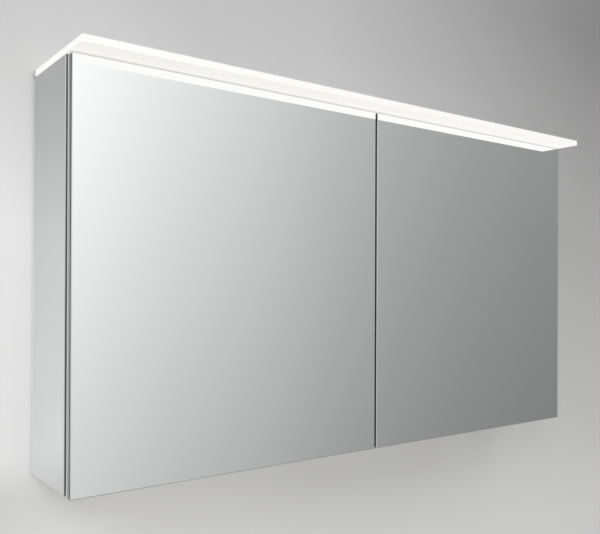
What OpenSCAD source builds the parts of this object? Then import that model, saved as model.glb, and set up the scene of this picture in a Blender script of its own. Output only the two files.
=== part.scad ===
/* [Cabinet] */
// Overall width, over the mirror cladding of both sides
cabinet_w = 1300; // [1080:10:1560]
// Height of the doors
door_h = 700; // [580:10:840]
// Depth of the carcass, from the wall to the front edges of its sides
carcass_d = 170; // [142:1:204]
// Thickness of the sides, top, bottom and partition
panel_t = 16; // [15:0.5:19]
// Thickness of the back panel
back_t = 8; // [6:0.5:12]
// Depth of the service space between the wall and the back panel
service_d = 20; // [18:0.5:26]
// Thickness of the mirror cladding on the outer sides
side_mirror_t = 4; // [3:0.5:6]
// Height from the hanging line up to the top edge of the doors
hang_drop = 60; // [58:1:90]
// Play between fixed pieces that slide into each other
fit_clear = 0.1; // [0.05:0.05:0.3]

/* [Doors] */
// Step from the outer side of the cabinet in to the edge of a door
door_inset = 3; // [2:0.5:5]
// Gap between the carcass and the back of the doors
door_gap = 3.5; // [3.5:0.5:6]
// Gap between the two doors
centre_gap = 5; // [3:0.5:8]
// Reveal from the bottom edge of the doors up to the carcass
bottom_reveal = 2; // [0:0.5:6]
// Gap between the top edge of the doors and the canopy
canopy_gap = 2; // [1.5:0.5:6]
// Thickness of the front mirror
front_glass_t = 4; // [3:0.5:6]
// Board left in front of a hinge cup
cup_skin = 1; // [0.8:0.1:6]
// Thickness of the mirror inside the door
rear_glass_t = 3; // [2:0.5:4]
// Polished bevel round the mirrors
arris = 1; // [0.5:0.1:1.5]
// Width of the edge profile, seen from the front
edge_w = 4.5; // [4:0.1:5]
// Depth of the groove beside the flange of the edge profile
groove_d = 2.5; // [1:0.1:3]
// Distance from the front mirror to the flange of the edge profile
groove_h = 2.4; // [1:0.1:3]
// Distance from the flange of the edge profile to the inner mirror
back_groove_h = 1.4; // [0.5:0.1:3]
// Diameter of the buffers on the back of the doors
buffer_d = 8; // [6:0.5:12]

/* [Hinges] */
// Distance of the end hinges from the ends of the door
hinge_end = 100; // [80:5:130]
// Outer diameter of a hinge cup
cup_d = 35; // [35:0.5:36]
// Depth of a hinge cup
cup_depth = 12.8; // [12.6:0.1:13]
// Distance from the edge of the door to the cup
cup_edge = 5; // [4.8:0.1:6]
// Wall thickness of a hinge cup
cup_wall = 1.2; // [0.8:0.1:1.4]
// Diameter of the hinge pins
hinge_pin_d = 4; // [3:0.1:4.2]
// Running clearance of a hinge pin, on the radius
run_clear = 0.05; // [0.03:0.01:0.1]
// Height of the goose-neck link along its pins
link_h = 10; // [8:0.5:10]
// Thickness of an arm cheek
cheek_t = 2; // [1.5:0.1:2.5]
// Side play between the link and an arm cheek
link_play = 0.3; // [0.2:0.05:0.5]
// Distance from the front edge of the carcass to the plate screws
plate_setback = 37; // [34:1:40]
// Thickness of a mounting plate
plate_t = 3; // [2:0.5:4]

/* [Shelves] */
// Thickness of the glass shelves
shelf_t = 6; // [5:1:8]
// Step from the front edge of the carcass back to a shelf
shelf_setback = 22; // [16:1:30]
// Gap at each end of a shelf
shelf_gap = 2.5; // [2.2:0.1:4]
// Diameter of the shelf pins
shelf_pin_d = 5; // [4:0.5:6]
// Pitch of the rows of pin holes
hole_pitch = 32; // [20:1:32]
// Pin holes in each row
holes_per_row = 5; // [1:2:5]

/* [Light canopy] */
// Thickness of the acrylic light guide
guide_t = 11; // [10:0.5:16]
// Thickness of the reflector sheet on top of the guide
reflector_t = 1; // [0.5:0.5:2]
// Reach of the canopy in front of the doors
canopy_reach = 51; // [30:1:80]
// Gap between the wall and the light channel
canopy_wall_gap = 4; // [2:0.5:6]
// Depth of the aluminium light channel
channel_d = 12; // [11:0.5:16]
// Wall thickness of the light channel
channel_t = 1.2; // [1:0.1:2]
// Pitch of the light-emitting chips
chip_pitch = 20; // [10:1:40]

/* [Electrics] */
// Diameter of the internal leads
lead_d = 4.6; // [4:0.2:5]
// Radius of the bends in the internal leads
lead_bend = 9; // [8:0.5:10]
// Width of the socket and switch unit
socket_w = 100; // [96:1:130]
// Height of the socket and switch unit
socket_h = 60; // [58:1:80]
// Depth of the socket and switch unit
socket_d = 42; // [36:1:50]
// Diameter of the round socket recess
recess_d = 38; // [36:1:40]
// Depth of the round socket recess
recess_depth = 14; // [12:0.5:16]
// Width of the gap for the supply cable between the bottom rails
cable_notch_w = 20; // [14:1:40]
// Tilt of the rocker away from its middle position
rocker_tilt = 7; // [4:0.5:8]

/* [Hidden] */
$fn = 48;

// Frame: X to the right, -Y to the front, wall plane at y = 0, hanging line at z = 0.
half_w = cabinet_w / 2;
side_out_x = -(half_w - side_mirror_t);
side_in_x = side_out_x + panel_t;
front_y = -carcass_d;
back_rear_y = -service_d;
back_face_y = back_rear_y - back_t;
door_z0 = hang_drop - door_h;
door_z1 = hang_drop;
case_z0 = door_z0 + bottom_reveal;
case_z1 = door_z1 + canopy_gap;
inner_z0 = case_z0 + panel_t;
inner_z1 = case_z1 - panel_t;
part_x = panel_t / 2;

// Doors; the left one is drawn, and the right one is its mirror image
cup_bore_depth = cup_depth + 0.2;
core_t = cup_bore_depth + cup_skin - rear_glass_t;
flange_h = core_t - groove_h - back_groove_h;
door_t = front_glass_t + core_t + rear_glass_t;
door_back_y = front_y - door_gap;
door_front_y = door_back_y - door_t;
door_x0 = -(half_w - door_inset);
door_x1 = -centre_gap / 2;
core_rear_y = door_back_y - rear_glass_t;
core_front_y = door_front_y + front_glass_t;
flange_y = core_front_y + groove_h;

// Hinges, in their own frame: x from the edge of the door inwards, y from its back into the case
hinge_zs = [door_z0 + hinge_end, (door_z0 + door_z1) / 2, door_z1 - hinge_end];
cup_c = cup_edge + cup_d / 2;
cup_in_r = cup_d / 2 - cup_wall;
cup_floor = 0.8;
cup_flange_t = 1;
cup_flange_r = cup_d / 2 + 1.5;
door_pivot = [11.5, -4];
arm_pivot = [30, 2];
link_end_r = 3.4;
link_w = 4;
link_bend = [16.7, -(cup_depth - cup_floor - link_w / 2 - 0.6)];
arm_nose_r = 3.5;
pin_r = hinge_pin_d / 2;
cheek_z = link_h / 2 + link_play;
case_u = side_in_x - door_x0;
plate_u = case_u + plate_t;
plate_v = door_gap + plate_setback;
arm_top_u = 31;
arm_len = 21;
arm_screw_v = plate_v + 13;
plate_screw_z = 16;
cup_screw = [cup_c + 9.5, 24];
plate_front = 15;
plate_wing_r = 8;
cup_ear_r = 5.5;
rivet_head = 0.8;
screw_r = 2;
cup_screw_len = 11;
plate_screw_len = 11;
pan_head_r = 3.6;
pan_head_t = 2;
cross_half_l = 2;
cross_half_w = 0.4;

// Shelves and their pins
shelf_zs = [inner_z0 + (inner_z1 - inner_z0) / 3, inner_z0 + (inner_z1 - inner_z0) * 2 / 3];
shelf_front_y = front_y + shelf_setback;
shelf_rear_y = back_face_y - 1;
pin_ys = [back_face_y - 20, shelf_front_y + 16];
shelf_pin_r = shelf_pin_d / 2;
shelf_pin_in = 7;
shelf_pin_out = 10;
shelf_collar_r = 3.8;
shelf_collar_t = 2;
hole_first = -(holes_per_row - 1) / 2;

// Screws that hold the carcass
carcass_screw_ys = [back_face_y - 12, front_y + 30];
carcass_screw_r = 2.4;
carcass_head_r = 3.5;
carcass_head_t = 3;
carcass_screw_len = 48;

// Wall fixing: plate, stepped lip and hook
hanger_x = side_in_x + 35;
plate_half_w = 30;
plate_half_h = 22;
wall_plate_t = 2;
lip_step = 4;
lip_h = 12;
wall_hole_r = 3;
wall_hole_z = 15;
hook_play = 0.3;
hook_half_w = 18;
hook_z = plate_half_h + lip_h + hook_play;
hook_y0 = -(wall_plate_t + lip_step - hook_play);
housing_y1 = -9;
housing_w = 60;
housing_h = 28;
hook_root = 3;

// Canopy
canopy_z0 = case_z1;
canopy_z1 = canopy_z0 + guide_t + reflector_t;
canopy_front_y = door_front_y - canopy_reach;
channel_y1 = -canopy_wall_gap;
channel_y0 = channel_y1 - channel_d;
strip_t = 0.8;
strip_h = 8;
chip_t = 1;
chip_l = 3;
chip_h = 2.8;
strip_y = channel_y1 - channel_t - strip_t;
strip_zc = (canopy_z0 + canopy_z1) / 2;
strip_end = 12;
canopy_screw_inset = 90;
canopy_screw_xs = [for (k = [0 : 3]) (cabinet_w - 2 * canopy_screw_inset) * (k / 3 - 0.5)];
canopy_screw_ys = [back_face_y - 24, front_y + 40];
canopy_screw_in = 8;

// Electrics in the service space
lead_r = lead_d / 2;
entry_r = lead_r + 0.3;
lead_y = channel_y0 + 1.5 + lead_r;
box_x = [-130, -40];
box_z = [-70, -10];
box_wall = 2;
box_y1 = -6;
lid_t = 3;
gland_x = -110;
gland_y = (back_rear_y + box_y1) / 2;
gland_r = 6;
gland_bore_r = 3.5;
gland_len = 14;
gland_nut_h = 5;
driver_x = [60, 220];
driver_z = [-62, -22];
driver_y1 = -3;
driver_ear = 10;
service_z = -42;
light_lead_x = 260;
light_lead_top = canopy_z0 + channel_t + 3;
socket_lead_z = -55;
socket_lead_x = 45;
socket_lead_y = -9;
clip_half = [7, 4];
clip_wall = 1.5;

// Socket and switch unit, on the bottom panel beside the partition
socket_x0 = part_x + 22;
socket_x1 = socket_x0 + socket_w;
socket_z0 = inner_z0;
socket_z1 = socket_z0 + socket_h;
socket_y0 = back_face_y - socket_d;
socket_wall = 2;
socket_front_t = 4;
socket_zc = (socket_z0 + socket_z1) / 2;
recess_x = socket_x0 + 32;
contact_gap = 19;
contact_r = 2.5;
contact_len = 12;
rocker_x = socket_x1 - 24;
rocker_half = [10, 13];
rocker_play = [1, 2];
rocker_depth = 8;
rocker_scoop_r = 40;
rocker_scoop = 2;
rocker_y = socket_y0 + socket_front_t / 2;
trunnion_r = 1.5;
trunnion_out = 3;
socket_entry_z = socket_zc;

// ---- helpers ----

// Box between two coordinates along each axis
module span(x, y, z) {
    translate([x[0], y[0], z[0]])
        cube([x[1] - x[0], y[1] - y[0], z[1] - z[0]]);
}

// Round bar along one axis, between two coordinates
module bar_x(x, y, z, r) {
    translate([x[0], y, z])
        rotate([0, 90, 0])
            cylinder(r = r, h = x[1] - x[0]);
}

module bar_y(x, y, z, r) {
    translate([x, y[0], z])
        rotate([-90, 0, 0])
            cylinder(r = r, h = y[1] - y[0]);
}

module bar_z(x, y, z, r) {
    translate([x, y, z[0]])
        cylinder(r = r, h = z[1] - z[0]);
}

module other_side() {
    mirror([1, 0, 0])
        children();
}

module both_sides() {
    children();
    other_side() children();
}

// Runs its children in the frame of each hinge of the left door
module at_hinges() {
    for (z = hinge_zs)
        translate([door_x0, door_back_y, z])
            children();
}

// Flat bar between two points of a plane
module stroke(a, b, w) {
    d = b - a;
    translate(a)
        rotate(atan2(d[1], d[0]))
            translate([0, -w / 2])
                square([norm(d), w]);
}

// Round lead through right-angled turns, with a quarter torus at each one
module lead_route(pts) {
    n = len(pts);
    for (i = [0 : n - 2]) {
        d = (pts[i + 1] - pts[i]) / norm(pts[i + 1] - pts[i]);
        a = pts[i] + (i == 0 ? 0 : lead_bend) * d;
        b = pts[i + 1] - (i == n - 2 ? 0 : lead_bend) * d;
        lead_straight(a, b);
    }
    for (i = [1 : 1 : n - 2]) {
        d1 = (pts[i] - pts[i - 1]) / norm(pts[i] - pts[i - 1]);
        d2 = (pts[i + 1] - pts[i]) / norm(pts[i + 1] - pts[i]);
        n3 = cross(d1, d2);
        c = pts[i] + lead_bend * (d2 - d1);
        multmatrix([
            [-d2[0], d1[0], n3[0], c[0]],
            [-d2[1], d1[1], n3[1], c[1]],
            [-d2[2], d1[2], n3[2], c[2]],
            [0, 0, 0, 1]
        ])
            rotate_extrude(angle = 90)
                translate([lead_bend, 0])
                    circle(r = lead_r);
    }
}

module lead_straight(a, b) {
    d = b - a;
    if (abs(d[0]) > 0.01)
        bar_x([min(a[0], b[0]), max(a[0], b[0])], a[1], a[2], lead_r);
    if (abs(d[1]) > 0.01)
        bar_y(a[0], [min(a[1], b[1]), max(a[1], b[1])], a[2], lead_r);
    if (abs(d[2]) > 0.01)
        bar_z(a[0], a[1], [min(a[2], b[2]), max(a[2], b[2])], lead_r);
}

// ---- carcass ----

module shelf_holes(x0, x1) {
    for (z = shelf_zs)
        for (k = [0 : holes_per_row - 1])
            for (y = pin_ys)
                bar_x([x0, x1], y, z - shelf_pin_r + (hole_first + k) * hole_pitch, shelf_pin_r + run_clear);
}

module side_screws(extra, reach) {
    for (z = [case_z0 + panel_t / 2, case_z1 - panel_t / 2])
        for (y = carcass_screw_ys) {
            bar_x([side_out_x, side_out_x + carcass_head_t], y, z, carcass_head_r + extra);
            bar_x([side_out_x + carcass_head_t, side_out_x + carcass_screw_len + reach], y, z,
                  carcass_screw_r + extra);
        }
}

module partition_screws(extra, reach) {
    for (y = carcass_screw_ys) {
        bar_z(0, y, [case_z0, case_z0 + carcass_head_t], carcass_head_r + extra);
        bar_z(0, y, [case_z0 + carcass_head_t, case_z0 + carcass_screw_len + reach], carcass_screw_r + extra);
        bar_z(0, y, [case_z1 - carcass_head_t, case_z1], carcass_head_r + extra);
        bar_z(0, y, [case_z1 - carcass_screw_len - reach, case_z1 - carcass_head_t], carcass_screw_r + extra);
    }
}

module hinge_plate_holes() {
    at_hinges()
        for (s = [-1, 1])
            bar_x([plate_u - plate_screw_len - 1, plate_u], plate_v, s * plate_screw_z, screw_r + fit_clear);
}

module side_panel() {
    color("white")
        difference() {
            span([side_out_x, side_in_x], [front_y, 0], [case_z0, case_z1]);
            side_screws(fit_clear, 1);
            hinge_plate_holes();
            shelf_holes(side_in_x - shelf_pin_in - 1, side_in_x + 1);
        }
}

module left_side_panel() {
    side_panel();
}

module right_side_panel() {
    other_side() side_panel();
}

// Cladding glass, with a polished bevel round its outer face
module side_mirror() {
    color("lightsteelblue")
        hull() {
            span([-half_w + arris, side_out_x], [front_y, 0], [case_z0, case_z1]);
            span([-half_w, side_out_x], [front_y + arris, -arris], [case_z0 + arris, case_z1 - arris]);
        }
}

module left_side_mirror() {
    side_mirror();
}

module right_side_mirror() {
    other_side() side_mirror();
}

module top_panel() {
    color("white")
        difference() {
            span([side_in_x, -side_in_x], [front_y, 0], [inner_z1, case_z1]);
            both_sides() side_screws(fit_clear, 1);
            partition_screws(fit_clear, 1);
            for (x = canopy_screw_xs)
                for (y = canopy_screw_ys)
                    bar_z(x, y, [inner_z1 - 1, case_z1 + 1], screw_r + fit_clear);
            bar_z(light_lead_x, lead_y, [inner_z1 - 1, case_z1 + 1], entry_r);
        }
}

module bottom_panel() {
    color("white")
        difference() {
            span([side_in_x, -side_in_x], [front_y, back_rear_y], [case_z0, inner_z0]);
            both_sides() side_screws(fit_clear, 1);
            partition_screws(fit_clear, 1);
        }
}

// Rails behind the bottom panel, with a gap between them for the supply cable
module bottom_rails() {
    color("white") {
        span([side_in_x, gland_x - cable_notch_w / 2], [back_rear_y, 0], [case_z0, inner_z0]);
        span([gland_x + cable_notch_w / 2, -side_in_x], [back_rear_y, 0], [case_z0, inner_z0]);
    }
}

module back_panel() {
    color("whitesmoke")
        difference() {
            span([side_in_x, -side_in_x], [back_face_y, back_rear_y], [inner_z0, inner_z1]);
            bar_y(socket_lead_x, [back_face_y - 1, back_rear_y + 1], socket_entry_z, entry_r);
        }
}

module centre_partition() {
    color("white")
        difference() {
            span([-part_x, part_x], [front_y, back_face_y], [inner_z0, inner_z1]);
            partition_screws(fit_clear, 1);
            both_sides() shelf_holes(part_x - shelf_pin_in - 0.5, part_x + 1);
        }
}

module carcass_screws() {
    color("silver") {
        both_sides() side_screws(0, 0);
        partition_screws(0, 0);
    }
}

// ---- shelves ----

module shelf(z) {
    color("palegreen", 0.4)
        span([side_in_x + shelf_gap, -part_x - shelf_gap], [shelf_front_y, shelf_rear_y], [z, z + shelf_t]);
}

module left_lower_shelf() {
    shelf(shelf_zs[0]);
}

module left_upper_shelf() {
    shelf(shelf_zs[1]);
}

module right_lower_shelf() {
    other_side() shelf(shelf_zs[0]);
}

module right_upper_shelf() {
    other_side() shelf(shelf_zs[1]);
}

// Pin with a collar against the panel; d is the direction in which it sticks out
module shelf_pin(x, y, z, d) {
    translate([x, y, z])
        rotate([0, 90 * d, 0]) {
            translate([0, 0, -shelf_pin_in])
                cylinder(r = shelf_pin_r, h = shelf_pin_in + shelf_pin_out);
            cylinder(r = shelf_collar_r, h = shelf_collar_t);
        }
}

module shelf_pins() {
    color("silver")
        both_sides()
            for (z = shelf_zs)
                for (y = pin_ys) {
                    shelf_pin(side_in_x, y, z - shelf_pin_r, 1);
                    shelf_pin(-part_x, y, z - shelf_pin_r, -1);
                }
}

// ---- wall fixing ----

module wall_plates() {
    color("silver")
        both_sides()
            difference() {
                union() {
                    span([hanger_x - plate_half_w, hanger_x + plate_half_w], [-wall_plate_t, 0],
                         [-plate_half_h, plate_half_h]);
                    span([hanger_x - plate_half_w, hanger_x + plate_half_w],
                         [-2 * wall_plate_t - lip_step, 0],
                         [plate_half_h - wall_plate_t, plate_half_h]);
                    span([hanger_x - plate_half_w, hanger_x + plate_half_w],
                         [-2 * wall_plate_t - lip_step, -wall_plate_t - lip_step],
                         [plate_half_h - wall_plate_t, plate_half_h + lip_h]);
                }
                for (z = [-wall_hole_z, wall_hole_z])
                    bar_y(hanger_x, [-wall_plate_t - 1, 1], z, wall_hole_r);
            }
}

module hanger_hooks() {
    color("silver")
        both_sides() {
            span([hanger_x - hook_half_w, hanger_x + hook_half_w],
                 [hook_y0, -wall_plate_t - hook_play], [hook_z - lip_h + 2, hook_z + wall_plate_t]);
            span([hanger_x - hook_half_w, hanger_x + hook_half_w],
                 [back_rear_y + hook_root, hook_y0], [hook_z, hook_z + wall_plate_t]);
        }
}

module hanger_housings() {
    color("dimgray")
        both_sides()
            difference() {
                span([side_in_x, side_in_x + housing_w], [back_rear_y, housing_y1],
                     [hook_z - housing_h, inner_z1 - 2]);
                span([hanger_x - hook_half_w - hook_play, hanger_x + hook_half_w + hook_play],
                     [back_rear_y + hook_root - hook_play, housing_y1 + 1],
                     [hook_z - hook_play, hook_z + wall_plate_t + hook_play]);
            }
}

// ---- hinges ----

module link_outline() {
    translate(door_pivot)
        circle(r = link_end_r);
    translate(arm_pivot)
        circle(r = link_end_r);
    translate(link_bend)
        circle(r = link_w / 2);
    stroke(door_pivot, link_bend, link_w);
    stroke(link_bend, arm_pivot, link_w);
}

module hinge_links() {
    color("gainsboro")
        at_hinges()
            difference() {
                translate([0, 0, -link_h / 2])
                    linear_extrude(link_h)
                        link_outline();
                for (p = [door_pivot, arm_pivot])
                    bar_z(p[0], p[1], [-link_h, link_h], pin_r + run_clear);
            }
}

module left_hinge_links() {
    hinge_links();
}

module right_hinge_links() {
    other_side() hinge_links();
}

// Side view of an arm, from its nose round the pin back along the mounting plate
module arm_outline() {
    translate(arm_pivot)
        circle(r = arm_nose_r);
    polygon([
        [arm_pivot[0] - arm_nose_r, arm_pivot[1]],
        [arm_pivot[0] + arm_nose_r, arm_pivot[1]],
        [arm_pivot[0] + arm_nose_r, arm_pivot[1] + 6],
        [arm_top_u, arm_pivot[1] + 12],
        [arm_top_u, plate_v + arm_len],
        [plate_u, plate_v + arm_len],
        [plate_u, plate_v - 11],
        [arm_pivot[0] - arm_nose_r, arm_pivot[1] + 8]
    ]);
}

module hinge_arms() {
    color("gainsboro")
        both_sides()
            at_hinges()
                difference() {
                    union() {
                        for (s = [0, 1])
                            mirror([0, 0, s])
                                translate([0, 0, cheek_z])
                                    linear_extrude(cheek_t)
                                        arm_outline();
                        span([arm_top_u - cheek_t, arm_top_u], [arm_pivot[1] + 16, plate_v + arm_len],
                             [-cheek_z, cheek_z]);
                    }
                    bar_z(arm_pivot[0], arm_pivot[1], [-link_h, link_h], pin_r + run_clear);
                    bar_x([arm_top_u - cheek_t - 1, arm_top_u + 1], arm_screw_v, 0, screw_r + fit_clear);
                }
}

// Rivets through the arm cheeks and the link
module arm_pins() {
    head_z = cheek_z + cheek_t;
    color("silver")
        both_sides()
            at_hinges() {
                bar_z(arm_pivot[0], arm_pivot[1], [-head_z - rivet_head, head_z + rivet_head], pin_r);
                bar_z(arm_pivot[0], arm_pivot[1], [head_z, head_z + rivet_head], pin_r + 1);
                bar_z(arm_pivot[0], arm_pivot[1], [-head_z - rivet_head, -head_z], pin_r + 1);
            }
}

module hinge_plates() {
    half_z = cheek_z + cheek_t;
    color("gainsboro")
        both_sides()
            at_hinges()
                difference() {
                    union() {
                        span([case_u, plate_u], [plate_v - plate_front, plate_v + arm_len], [-half_z, half_z]);
                        span([case_u, plate_u], [plate_v - plate_wing_r, plate_v + plate_wing_r],
                             [-plate_screw_z - 2, plate_screw_z + 2]);
                        for (s = [-1, 1])
                            bar_x([case_u, plate_u], plate_v, s * (plate_screw_z + 2), plate_wing_r);
                    }
                    for (s = [-1, 1])
                        bar_x([case_u - 1, plate_u + 1], plate_v, s * plate_screw_z, screw_r + fit_clear);
                    bar_x([case_u - 1, plate_u + 1], arm_screw_v, 0, screw_r + fit_clear);
                }
}

// Two panel screws and one arm screw for each mounting plate
module hinge_screws() {
    color("silver")
        both_sides()
            at_hinges() {
                for (s = [-1, 1]) {
                    bar_x([plate_u - plate_screw_len, plate_u], plate_v, s * plate_screw_z, screw_r);
                    pan_head_x(plate_u, plate_v, s * plate_screw_z);
                }
                bar_x([case_u, arm_top_u], arm_screw_v, 0, screw_r);
                pan_head_x(arm_top_u, arm_screw_v, 0);
            }
}

// Screw head with a cross recess, facing along +X
module pan_head_x(x, y, z) {
    difference() {
        bar_x([x, x + pan_head_t], y, z, pan_head_r);
        span([x + 1, x + pan_head_t + 1], [y - cross_half_l, y + cross_half_l], [z - cross_half_w, z + cross_half_w]);
        span([x + 1, x + pan_head_t + 1], [y - cross_half_w, y + cross_half_w], [z - cross_half_l, z + cross_half_l]);
    }
}

// Outline of a cup flange: a disc with an ear for each screw
module cup_flange() {
    rotate([-90, 0, 0])
        linear_extrude(cup_flange_t) {
            translate([cup_c, 0])
                circle(r = cup_flange_r);
            for (s = [-1, 1])
                translate([cup_screw[0], s * cup_screw[1]])
                    circle(r = cup_ear_r);
            translate([cup_screw[0] - cup_ear_r, -cup_screw[1]])
                square([2 * cup_ear_r, 2 * cup_screw[1]]);
        }
}

module hinge_cups() {
    color("gainsboro")
        at_hinges()
            difference() {
                union() {
                    bar_y(cup_c, [-cup_depth, 0], 0, cup_d / 2);
                    cup_flange();
                }
                bar_y(cup_c, [-cup_depth + cup_floor, cup_flange_t + 1], 0, cup_in_r);
                bar_z(door_pivot[0], door_pivot[1], [-cup_d / 2, cup_d / 2], pin_r + run_clear);
                for (s = [-1, 1])
                    bar_y(cup_screw[0], [-1, cup_flange_t + 1], s * cup_screw[1], screw_r + fit_clear);
            }
}

module cup_pins() {
    half = sqrt(pow(cup_d / 2, 2) - pow(cup_c - door_pivot[0] + pin_r, 2)) - 0.1;
    color("silver")
        at_hinges()
            bar_z(door_pivot[0], door_pivot[1], [-half, half], pin_r);
}

module cup_screws() {
    x = cup_screw[0];
    head_y = [cup_flange_t, cup_flange_t + 1.4];
    cross_y = [cup_flange_t + 0.6, cup_flange_t + 3];
    color("silver")
        at_hinges()
            for (s = [-1, 1]) {
                z = s * cup_screw[1];
                bar_y(x, [cup_flange_t - cup_screw_len, cup_flange_t], z, screw_r);
                difference() {
                    bar_y(x, head_y, z, pan_head_r);
                    span([x - cross_half_l, x + cross_half_l], cross_y, [z - cross_half_w, z + cross_half_w]);
                    span([x - cross_half_w, x + cross_half_w], cross_y, [z - cross_half_l, z + cross_half_l]);
                }
            }
}

module left_hinge_cups() {
    hinge_cups();
}

module right_hinge_cups() {
    other_side() hinge_cups();
}

module left_cup_pins() {
    cup_pins();
}

module right_cup_pins() {
    other_side() cup_pins();
}

module left_cup_screws() {
    cup_screws();
}

module right_cup_screws() {
    other_side() cup_screws();
}

// ---- doors ----

// Front mirror, with a polished bevel round its face
module front_mirror() {
    color("lightsteelblue")
        hull() {
            span([door_x0, door_x1], [door_front_y + arris, core_front_y], [door_z0, door_z1]);
            span([door_x0 + arris, door_x1 - arris], [door_front_y, core_front_y],
                 [door_z0 + arris, door_z1 - arris]);
        }
}

module left_front_mirror() {
    front_mirror();
}

module right_front_mirror() {
    other_side() front_mirror();
}

// One mitred length of the edge profile, along Z, with its outer face at x = 0
module edge_length(l) {
    difference() {
        linear_extrude(l)
            polygon([
                [groove_d, core_front_y],
                [edge_w, core_front_y],
                [edge_w, core_rear_y],
                [groove_d, core_rear_y],
                [groove_d, flange_y + flange_h],
                [0, flange_y + flange_h],
                [0, flange_y],
                [groove_d, flange_y]
            ]);
        mitre_cut();
        translate([0, 0, l])
            mirror([0, 0, 1])
                mitre_cut();
    }
}

// Wedge below the 45-degree mitre plane
module mitre_cut() {
    translate([0, core_rear_y + 1, 0])
        rotate([90, 0, 0])
            linear_extrude(core_t + 2)
                polygon([[-1, -1], [edge_w + 1, edge_w + 1], [edge_w + 1, -1]]);
}

module edge_profile() {
    color("silver") {
        translate([door_x0, 0, door_z0])
            edge_length(door_h);
        translate([door_x1, 0, door_z0])
            mirror([1, 0, 0])
                edge_length(door_h);
        translate([door_x0, 0, door_z0])
            mirror([1, 0, -1])
                edge_length(door_x1 - door_x0);
        translate([door_x0, 0, door_z1])
            mirror([0, 0, 1])
                mirror([1, 0, -1])
                    edge_length(door_x1 - door_x0);
    }
}

module left_edge_profile() {
    edge_profile();
}

module right_edge_profile() {
    other_side() edge_profile();
}

module door_board() {
    color("whitesmoke")
        difference() {
            span([door_x0 + edge_w, door_x1 - edge_w], [core_front_y, core_rear_y],
                 [door_z0 + edge_w, door_z1 - edge_w]);
            at_hinges() {
                bar_y(cup_c, [-cup_bore_depth, 1], 0, cup_d / 2 + fit_clear);
                for (s = [-1, 1])
                    bar_y(cup_screw[0], [-cup_screw_len, 1], s * cup_screw[1], screw_r + fit_clear);
            }
        }
}

module left_door_board() {
    door_board();
}

module right_door_board() {
    other_side() door_board();
}

module inner_mirror() {
    color("lightsteelblue")
        difference() {
            span([door_x0 + groove_d, door_x1 - groove_d], [core_rear_y, door_back_y],
                 [door_z0 + groove_d, door_z1 - groove_d]);
            at_hinges() {
                bar_y(cup_c, [-cup_depth, 1], 0, cup_d / 2 + fit_clear);
                for (s = [-1, 1])
                    bar_y(cup_screw[0], [-cup_screw_len, 1], s * cup_screw[1], screw_r + 0.5);
            }
        }
}

module left_inner_mirror() {
    inner_mirror();
}

module right_inner_mirror() {
    other_side() inner_mirror();
}

module buffers() {
    color("white", 0.6)
        for (z = [case_z0 + panel_t / 2, case_z1 - panel_t / 2])
            bar_y(door_x1 - 16, [door_back_y, door_back_y + door_gap - 0.4], z, buffer_d / 2);
}

module left_buffers() {
    buffers();
}

module right_buffers() {
    other_side() buffers();
}

// ---- light canopy ----

module canopy_screw_row(extra, reach) {
    for (x = canopy_screw_xs)
        for (y = canopy_screw_ys)
            bar_z(x, y, [inner_z1, canopy_z0 + canopy_screw_in + reach], screw_r + extra);
}

module light_guide() {
    color("ivory")
        difference() {
            span([-half_w, half_w], [canopy_front_y, channel_y0], [canopy_z0, canopy_z0 + guide_t]);
            canopy_screw_row(fit_clear, 1);
        }
}

module canopy_reflector() {
    color("white")
        span([-half_w, half_w], [canopy_front_y, channel_y0], [canopy_z0 + guide_t, canopy_z1]);
}

// U-shaped channel, open towards the rear edge of the light guide
module light_channel() {
    color("silver")
        difference() {
            span([-half_w, half_w], [channel_y0, channel_y1], [canopy_z0, canopy_z1]);
            span([-half_w - 1, half_w + 1], [channel_y0 - 1, channel_y1 - channel_t],
                 [canopy_z0 + channel_t, canopy_z1 - channel_t]);
            bar_z(light_lead_x, lead_y, [canopy_z0 - 1, canopy_z0 + channel_t + 1], entry_r);
        }
}

module led_strip() {
    color("white")
        span([-half_w + strip_end, half_w - strip_end], [strip_y, strip_y + strip_t],
             [strip_zc - strip_h / 2, strip_zc + strip_h / 2]);
}

module led_chips() {
    n = floor((cabinet_w - 2 * strip_end - chip_l) / chip_pitch);
    color("khaki")
        for (k = [0 : n]) {
            x = (k - n / 2) * chip_pitch;
            span([x - chip_l / 2, x + chip_l / 2], [strip_y - chip_t, strip_y],
                 [strip_zc - chip_h / 2, strip_zc + chip_h / 2]);
        }
}

module canopy_screws() {
    cross_z = [inner_z1 - pan_head_t - 1, inner_z1 - 1];
    color("silver") {
        canopy_screw_row(0, 0);
        for (x = canopy_screw_xs)
            for (y = canopy_screw_ys)
                difference() {
                    bar_z(x, y, [inner_z1 - pan_head_t, inner_z1], pan_head_r);
                    span([x - cross_half_l, x + cross_half_l], [y - cross_half_w, y + cross_half_w], cross_z);
                    span([x - cross_half_w, x + cross_half_w], [y - cross_half_l, y + cross_half_l], cross_z);
                }
    }
}

// ---- electrics ----

module led_driver() {
    zc = (driver_z[0] + driver_z[1]) / 2;
    color("white")
        difference() {
            union() {
                span(driver_x, [back_rear_y, driver_y1], driver_z);
                span([driver_x[0] - driver_ear, driver_x[1] + driver_ear],
                     [back_rear_y, back_rear_y + 2], [driver_z[0], zc - 8]);
            }
            for (x = [driver_x[0] - driver_ear / 2, driver_x[1] + driver_ear / 2])
                bar_y(x, [back_rear_y - 1, back_rear_y + 3], driver_z[0] + 6, screw_r);
        }
}

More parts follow.
